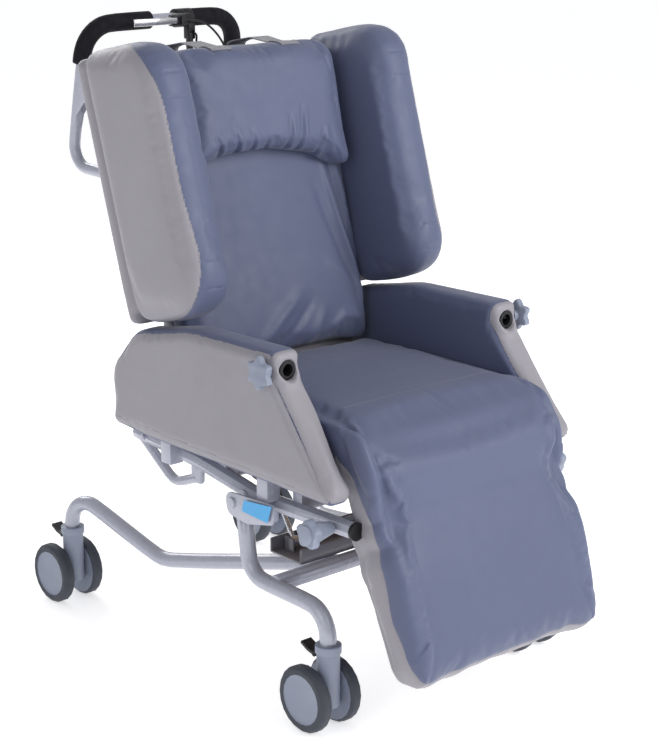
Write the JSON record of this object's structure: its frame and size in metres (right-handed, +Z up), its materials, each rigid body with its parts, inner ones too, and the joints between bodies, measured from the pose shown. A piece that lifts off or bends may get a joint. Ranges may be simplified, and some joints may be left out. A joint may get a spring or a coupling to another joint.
{
  "type": "patient recliner chair",
  "caption": "Upholstered care chair with a tilting seat, reclining winged back, lifting leg rest, push handle and braked twin-wheel castors on a bent-tube base.",
  "frame": {"origin": "centre of the whole chair's footprint on the floor, at rest", "axes": "+Z up; the sitter faces -Y; the sitter's left is +X"},
  "size_m": [0.665, 1.0935, 1.2135],
  "materials": {
    "blue_vinyl": "soft matt slate-blue upholstery vinyl with a fine grain",
    "grey_vinyl": "soft matt warm-grey upholstery vinyl with a fine grain",
    "silver_paint": "glossy silver-lavender powder coat",
    "grey_plastic": "moulded light blue-grey nylon",
    "dark_tyre": "dark blue-grey moulded tread",
    "black_plastic": "moulded black plastic",
    "black_foam": "near-black foam rubber sleeve",
    "steel": "polished steel",
    "plywood": "plain birch plywood",
    "webbing": "flat grey woven strap",
    "dark_steel": "dark grey satin paint"
  },
  "bodies": {
    "base": {"front_tube_r": "silver_paint", "front_tube_l": "silver_paint", "rear_leg_r": "silver_paint", "rear_leg_l": "silver_paint", "cross_tube": "silver_paint", "strut_channel": "dark_steel", "pivot_plate_r": "silver_paint", "pivot_plate_l": "silver_paint"},
    "castor_front_r": {"castor_hood_front_r": "grey_plastic"},
    "wheels_front_r": {"castor_wheels_front_r": "dark_tyre"},
    "pedal_front_r": {"brake_pedal_front_r": "black_plastic"},
    "castor_front_l": {"castor_hood_front_l": "grey_plastic"},
    "wheels_front_l": {"castor_wheels_front_l": "dark_tyre"},
    "pedal_front_l": {"brake_pedal_front_l": "black_plastic"},
    "castor_rear_r": {"castor_hood_rear_r": "grey_plastic"},
    "wheels_rear_r": {"castor_wheels_rear_r": "dark_tyre"},
    "pedal_rear_r": {"brake_pedal_rear_r": "black_plastic"},
    "castor_rear_l": {"castor_hood_rear_l": "grey_plastic"},
    "wheels_rear_l": {"castor_wheels_rear_l": "dark_tyre"},
    "pedal_rear_l": {"brake_pedal_rear_l": "black_plastic"},
    "seat": {"seat_frame": "silver_paint", "seat_board": "plywood", "seat_cushion": "blue_vinyl", "armrest_r": "grey_vinyl", "armrest_l": "grey_vinyl", "tray_socket_r": "black_plastic", "tray_socket_l": "black_plastic", "rail_cap_r": "black_plastic", "rail_cap_l": "black_plastic", "tilt_cable_seat": "black_plastic", "recline_cable_seat": "black_plastic"},
    "star_knob_r": {"star_knob_r": "grey_plastic"},
    "clamp_knob_r": {"clamp_knob_r": "grey_plastic"},
    "star_knob_l": {"star_knob_l": "grey_plastic"},
    "clamp_knob_l": {"clamp_knob_l": "grey_plastic"},
    "leg_rest": {"legrest_frame": "silver_paint", "legrest_pad": "blue_vinyl", "knee_roll": "blue_vinyl"},
    "back": {"back_frame": "silver_paint", "back_shell": "grey_vinyl", "back_cushion": "blue_vinyl", "wing_r": "grey_vinyl", "wing_l": "grey_vinyl", "head_pillow": "blue_vinyl", "pillow_strap_r": "webbing", "pillow_strap_l": "webbing", "push_handle": "silver_paint", "grip_r": "black_foam", "grip_l": "black_foam", "tilt_lever_mount": "black_plastic", "recline_lever_mount": "black_plastic", "tilt_cable_back": "black_plastic", "recline_cable_back": "black_plastic"},
    "tilt_lever": {"tilt_lever": "steel"},
    "recline_lever": {"recline_lever": "black_plastic"},
    "tilt_cylinder": {"tilt_strut_cylinder": "black_plastic"},
    "tilt_rod": {"tilt_strut_rod": "steel"},
    "recline_cylinder": {"recline_strut_cylinder": "black_plastic"},
    "recline_rod": {"recline_strut_rod": "steel"}
  },
  "joints": [
    {"name": "seat_tilt", "type": "hinge", "parent": "base", "child": "seat", "pos_m": [0, -0.1039, 0.371], "axis": [-1, 0, 0], "range_deg": [0, 20]},
    {"name": "back_recline", "type": "hinge", "parent": "seat", "child": "back", "pos_m": [0, 0.2091, 0.418], "axis": [-1, 0, 0], "range_deg": [0, 35]},
    {"name": "leg_lift", "type": "hinge", "parent": "seat", "child": "leg_rest", "pos_m": [0, -0.3509, 0.385], "axis": [-1, 0, 0], "range_deg": [0, 60], "deforming": ["knee_roll"]},
    {"name": "castor_swivel_front_r", "type": "hinge", "parent": "base", "child": "castor_front_r", "pos_m": [-0.267, -0.3469, 0.1645], "axis": [0, 0, 1], "continuous": true},
    {"name": "wheel_spin_front_r", "type": "hinge", "parent": "castor_front_r", "child": "wheels_front_r", "pos_m": [-0.267, -0.3249, 0.0625], "axis": [1, 0, 0], "continuous": true},
    {"name": "brake_press_front_r", "type": "hinge", "parent": "castor_front_r", "child": "pedal_front_r", "pos_m": [-0.267, -0.3202, 0.14], "axis": [-1, 0, 0], "range_deg": [0, 12]},
    {"name": "castor_swivel_front_l", "type": "hinge", "parent": "base", "child": "castor_front_l", "pos_m": [0.267, -0.3469, 0.1645], "axis": [0, 0, 1], "continuous": true},
    {"name": "wheel_spin_front_l", "type": "hinge", "parent": "castor_front_l", "child": "wheels_front_l", "pos_m": [0.267, -0.3249, 0.0625], "axis": [1, 0, 0], "continuous": true},
    {"name": "brake_press_front_l", "type": "hinge", "parent": "castor_front_l", "child": "pedal_front_l", "pos_m": [0.267, -0.3202, 0.14], "axis": [-1, 0, 0], "range_deg": [0, 12]},
    {"name": "castor_swivel_rear_r", "type": "hinge", "parent": "base", "child": "castor_rear_r", "pos_m": [-0.267, 0.4621, 0.1645], "axis": [0, 0, 1], "continuous": true},
    {"name": "wheel_spin_rear_r", "type": "hinge", "parent": "castor_rear_r", "child": "wheels_rear_r", "pos_m": [-0.267, 0.4841, 0.0625], "axis": [1, 0, 0], "continuous": true},
    {"name": "brake_press_rear_r", "type": "hinge", "parent": "castor_rear_r", "child": "pedal_rear_r", "pos_m": [-0.267, 0.4888, 0.14], "axis": [-1, 0, 0], "range_deg": [0, 12]},
    {"name": "castor_swivel_rear_l", "type": "hinge", "parent": "base", "child": "castor_rear_l", "pos_m": [0.267, 0.4621, 0.1645], "axis": [0, 0, 1], "continuous": true},
    {"name": "wheel_spin_rear_l", "type": "hinge", "parent": "castor_rear_l", "child": "wheels_rear_l", "pos_m": [0.267, 0.4841, 0.0625], "axis": [1, 0, 0], "continuous": true},
    {"name": "brake_press_rear_l", "type": "hinge", "parent": "castor_rear_l", "child": "pedal_rear_l", "pos_m": [0.267, 0.4888, 0.14], "axis": [-1, 0, 0], "range_deg": [0, 12]},
    {"name": "star_knob_turn_r", "type": "hinge", "parent": "seat", "child": "star_knob_r", "pos_m": [-0.3185, -0.2339, 0.651], "axis": [-1, 0, 0], "continuous": true},
    {"name": "clamp_knob_turn_r", "type": "hinge", "parent": "seat", "child": "clamp_knob_r", "pos_m": [-0.3, -0.3509, 0.385], "axis": [-1, 0, 0], "continuous": true},
    {"name": "star_knob_turn_l", "type": "hinge", "parent": "seat", "child": "star_knob_l", "pos_m": [0.3185, -0.2339, 0.651], "axis": [1, 0, 0], "continuous": true},
    {"name": "clamp_knob_turn_l", "type": "hinge", "parent": "seat", "child": "clamp_knob_l", "pos_m": [0.3, -0.3509, 0.385], "axis": [1, 0, 0], "continuous": true},
    {"name": "tilt_lever_squeeze", "type": "hinge", "parent": "back", "child": "tilt_lever", "pos_m": [-0.004, 0.4221, 1.194], "axis": [0, 0, -1], "range_deg": [0, 8], "stiffness_Nm_per_rad": 2},
    {"name": "recline_lever_squeeze", "type": "hinge", "parent": "back", "child": "recline_lever", "pos_m": [0.0585, 0.4541, 1.16], "axis": [1, 0, 0], "range_deg": [0, 12], "stiffness_Nm_per_rad": 2},
    {"name": "tilt_strut_swing", "type": "hinge", "parent": "seat", "child": "tilt_cylinder", "pos_m": [-0.16, -0.0426, 0.4048], "axis": [1, 0, 0], "range_deg": [0, 12.6]},
    {"name": "tilt_rod_slide", "type": "slide", "parent": "tilt_cylinder", "child": "tilt_rod", "axis": [0, -0.5406, -0.8413], "range_m": [-0.0145, 0]},
    {"name": "recline_strut_swing", "type": "hinge", "parent": "seat", "child": "recline_cylinder", "pos_m": [0.06, -0.2379, 0.3596], "axis": [1, 0, 0], "range_deg": [-0.5, 0.5]},
    {"name": "recline_rod_slide", "type": "slide", "parent": "recline_cylinder", "child": "recline_rod", "axis": [0, 1, 0.003], "range_m": [-0.037, 0]}
  ],
  "couplings": [
    {"joint": "tilt_strut_swing", "follows": "seat_tilt", "ratio": 0.62215},
    {"joint": "tilt_rod_slide", "follows": "seat_tilt", "m_per_rad": -0.03842},
    {"joint": "recline_strut_swing", "follows": "back_recline", "ratio": -0.00809},
    {"joint": "recline_rod_slide", "follows": "back_recline", "m_per_rad": -0.05886}
  ]
}
